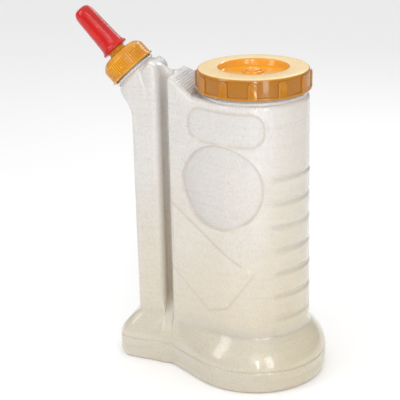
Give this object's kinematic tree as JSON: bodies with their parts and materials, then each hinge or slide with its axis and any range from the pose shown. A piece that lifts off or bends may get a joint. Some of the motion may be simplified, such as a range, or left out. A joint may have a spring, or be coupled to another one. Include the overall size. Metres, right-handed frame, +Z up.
{
  "type": "calf feeding bottle",
  "caption": "Flask-shaped calf feeding bottle: a round chamber with a wide screw lid, and beside it a flat feed tube with a slanted screw collar and a rubber nipple.",
  "frame": {"origin": "middle of the object's box in X and Y, on the surface that the bottle stands on", "axes": "+Z up, +X from the feed tube to the round chamber, +Y to the back"},
  "size_m": [0.2086, 0.12, 0.3018],
  "materials": {
    "milky_polyethylene": "translucent milky blow-moulded polyethylene, soft sheen",
    "amber_plastic": "glossy moulded, amber",
    "gold_plastic": "satin moulded, golden yellow",
    "red_rubber": "smooth moulded, shiny",
    "seal_rubber": "soft, matt",
    "plug_plastic": "glossy moulded"
  },
  "bodies": {
    "bottle": {"bottle": "milky_polyethylene"},
    "liner": {"lid_liner": "seal_rubber"},
    "lid": {"screw_lid": "amber_plastic"},
    "vent": {"vent_plug": "plug_plastic"},
    "washer": {"collar_washer": "seal_rubber"},
    "collar": {"nipple_collar": "gold_plastic"},
    "nipple": {"nipple": "red_rubber"}
  },
  "joints": [
    {"name": "lid_rise", "type": "slide", "parent": "bottle", "child": "liner", "axis": [0, 0, 1], "range_m": [0, 0.0201]},
    {"name": "lid_turn", "type": "hinge", "parent": "liner", "child": "lid", "pos_m": [0.0443, 0, 0.242], "axis": [0, 0, 1], "range_deg": [0, 1440]},
    {"name": "vent_pull", "type": "slide", "parent": "lid", "child": "vent", "axis": [0, 0, 1], "range_m": [0, 0.01]},
    {"name": "collar_rise", "type": "slide", "parent": "bottle", "child": "washer", "axis": [-0.682, 0, 0.7314], "range_m": [0, 0.0148]},
    {"name": "collar_turn", "type": "hinge", "parent": "washer", "child": "collar", "pos_m": [-0.0567, 0, 0.2514], "axis": [-0.682, 0, 0.7314], "range_deg": [0, 1260]},
    {"name": "nipple_pull", "type": "slide", "parent": "collar", "child": "nipple", "axis": [-0.682, 0, 0.7314], "range_m": [0, 0.016]}
  ],
  "couplings": [
    {"joint": "lid_rise", "follows": "lid_turn", "m_per_rad": 0.00079577},
    {"joint": "collar_rise", "follows": "collar_turn", "m_per_rad": 0.00066845}
  ]
}
